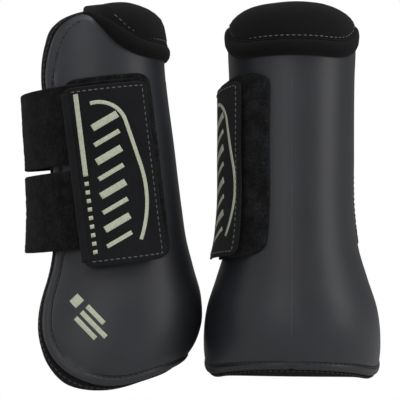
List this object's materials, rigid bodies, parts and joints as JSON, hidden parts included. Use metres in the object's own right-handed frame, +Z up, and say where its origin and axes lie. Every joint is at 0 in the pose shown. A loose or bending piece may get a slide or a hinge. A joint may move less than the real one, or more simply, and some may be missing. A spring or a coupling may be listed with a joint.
{
  "type": "tendon boots",
  "caption": "Pair of open-front horse tendon boots: moulded shell, soft collar and liner, and a panel that closes two elastic front straps with hook and loop.",
  "frame": {"origin": "centre of the pair's bounding box, at the level of the lowest hems", "axes": "+Z up; the first boot shows its outer side towards -Y with its front towards -X, and the second shows its rear towards -Y"},
  "size_m": [0.2452, 0.1233, 0.2557],
  "materials": {
    "moulded_shell": "satin moulded polyurethane",
    "neoprene_lining": "closed-cell neoprene with a jersey face",
    "edge_tape": "woven binding tape",
    "collar_cloth": "stretch cloth over soft foam",
    "cuff_cloth": "stretch cloth over a foam roll",
    "loop_fabric": "napped loop",
    "strap_elastic": "brushed elastic",
    "hook_tape": "moulded hook",
    "woven_panel": "tight plain weave",
    "light_thread": "bonded polyester thread",
    "dark_thread": "bonded polyester thread"
  },
  "bodies": {
    "boot_a": {"boot_a_shell": "moulded_shell", "boot_a_rim_stitching": "light_thread", "boot_a_liner": "neoprene_lining", "boot_a_edge_binding": "edge_tape", "boot_a_collar": "collar_cloth", "boot_a_cuff": "cuff_cloth", "boot_a_cuff_stitching": "light_thread", "boot_a_loop_pad": "loop_fabric", "boot_a_lower_strap_anchor": "strap_elastic", "boot_a_lower_anchor_stitching": "dark_thread", "boot_a_upper_strap_anchor": "strap_elastic", "boot_a_upper_anchor_stitching": "dark_thread"},
    "boot_a_closure": {"boot_a_lower_strap": "strap_elastic", "boot_a_upper_strap": "strap_elastic", "boot_a_lower_hook_pad": "hook_tape", "boot_a_upper_hook_pad": "hook_tape", "boot_a_closure_panel": "woven_panel", "boot_a_panel_stitching": "dark_thread"},
    "boot_b": {"boot_b_shell": "moulded_shell", "boot_b_rim_stitching": "light_thread", "boot_b_liner": "neoprene_lining", "boot_b_edge_binding": "edge_tape", "boot_b_collar": "collar_cloth", "boot_b_cuff": "cuff_cloth", "boot_b_cuff_stitching": "light_thread", "boot_b_loop_pad": "loop_fabric", "boot_b_lower_strap_anchor": "strap_elastic", "boot_b_lower_anchor_stitching": "dark_thread", "boot_b_upper_strap_anchor": "strap_elastic", "boot_b_upper_anchor_stitching": "dark_thread"},
    "boot_b_closure": {"boot_b_lower_strap": "strap_elastic", "boot_b_upper_strap": "strap_elastic", "boot_b_lower_hook_pad": "hook_tape", "boot_b_upper_hook_pad": "hook_tape", "boot_b_closure_panel": "woven_panel", "boot_b_panel_stitching": "dark_thread"}
  },
  "joints": [
    {"name": "boot_a_closure_swing", "type": "hinge", "parent": "boot_a", "child": "boot_a_closure", "pos_m": [-0.09674, 0.03917, 0.14427], "axis": [0.1174, 0.0605, -0.9912], "range_deg": [0, 105]},
    {"name": "boot_b_lift", "type": "slide", "parent": "boot_a", "child": "boot_b", "axis": [0, 0, 1], "range_m": [0, 0.3]},
    {"name": "boot_b_closure_swing", "type": "hinge", "parent": "boot_b", "child": "boot_b_closure", "pos_m": [0.10409, 0.02931, 0.14427], "axis": [0.0416, -0.1254, -0.9912], "range_deg": [0, 105]}
  ]
}
